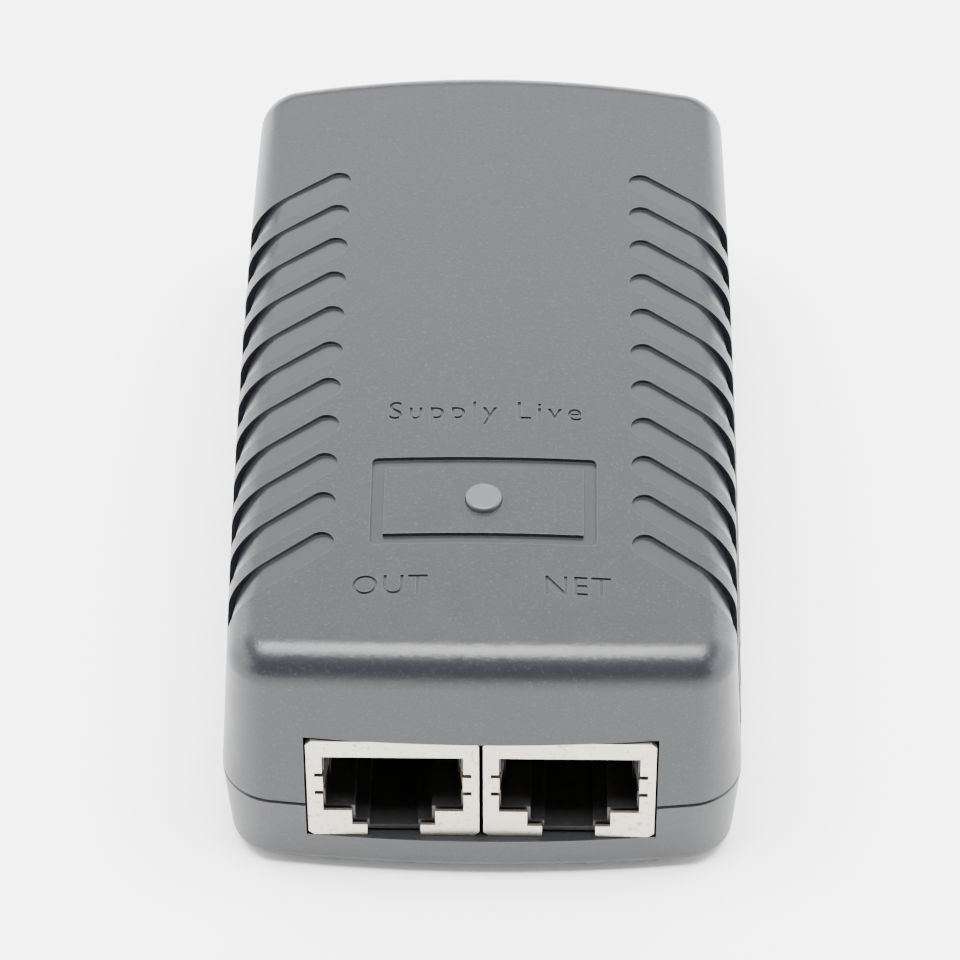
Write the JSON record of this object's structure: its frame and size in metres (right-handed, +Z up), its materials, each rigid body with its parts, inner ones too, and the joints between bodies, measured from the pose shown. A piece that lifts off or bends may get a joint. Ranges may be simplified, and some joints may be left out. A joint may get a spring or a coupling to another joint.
{
  "type": "poe injector",
  "caption": "Compact desktop power injector: crowned two-shell case with grooved shoulders, shielded network sockets in front and a mains inlet behind.",
  "frame": {"origin": "on the surface the feet stand on, under the middle of the case's bounding box", "axes": "+Z up, the network ports face -Y, the mains inlet faces +Y, +X to the right when looking at the ports"},
  "size_m": [0.0496, 0.0827, 0.0309],
  "materials": {
    "case_top": "fine textured dark grey moulded plastic",
    "case_bottom": "fine textured dark grey moulded plastic",
    "lens": "smooth smoked grey plastic",
    "screw_steel": "zinc plated",
    "foot_rubber": "matte black rubber",
    "label": "blank silver film",
    "nickel_shield": "satin nickel plated sheet",
    "black_housing": "black moulded plastic",
    "gold_contact": "gold plated",
    "pin_brass": "nickel plated brass",
    "board": "green solder mask",
    "insulation": "fish paper",
    "component_dark": "moulded",
    "varistor_blue": "epoxy dipped",
    "thermistor_green": "epoxy dipped",
    "capacitor_yellow": "moulded",
    "ferrite": "sintered ferrite",
    "copper": "enamelled copper wire",
    "component_black": "moulded epoxy",
    "capacitor_sleeve": "printed sleeve",
    "winding_tape": "polyester tape",
    "heatsink": "plain sheet",
    "component_white": "moulded",
    "led": "diffused"
  },
  "bodies": {
    "injector": {"top_shell": "case_top", "bottom_shell": "case_bottom", "led_lens": "lens", "case_screws": "screw_steel", "rubber_feet": "foot_rubber", "rating_label": "label", "left_port_shield": "nickel_shield", "left_port_housing": "black_housing", "left_port_leads": "gold_contact", "right_port_shield": "nickel_shield", "right_port_housing": "black_housing", "right_port_leads": "gold_contact", "mains_inlet": "black_housing", "mains_pins": "pin_brass", "circuit_board": "board", "board_screws": "screw_steel", "insulation_sheet": "insulation", "fuse": "component_dark", "varistor": "varistor_blue", "inrush_thermistor": "thermistor_green", "x_capacitor": "capacitor_yellow", "choke_core": "ferrite", "choke_windings": "copper", "bridge_rectifier": "component_black", "bulk_capacitor": "capacitor_sleeve", "transformer_core": "ferrite", "transformer_bobbin": "component_black", "transformer_winding": "winding_tape", "primary_heatsink": "heatsink", "switching_transistor": "component_black", "controller_chip": "component_black", "secondary_heatsink": "heatsink", "output_diode": "component_black", "y_capacitor": "varistor_blue", "optocoupler": "component_white", "output_inductor": "ferrite", "output_capacitors": "capacitor_sleeve", "status_led": "led"},
    "left_contacts": {"left_port_contacts": "gold_contact"},
    "right_contacts": {"right_port_contacts": "gold_contact"}
  },
  "joints": [
    {"name": "left_contact_flex", "type": "hinge", "parent": "injector", "child": "left_contacts", "pos_m": [-0.00819, -0.0386, 0.01675], "axis": [1, 0, 0], "range_deg": [0, 9], "stiffness_Nm_per_rad": 0.05},
    {"name": "right_contact_flex", "type": "hinge", "parent": "injector", "child": "right_contacts", "pos_m": [0.00819, -0.0386, 0.01675], "axis": [1, 0, 0], "range_deg": [0, 9], "stiffness_Nm_per_rad": 0.05}
  ]
}
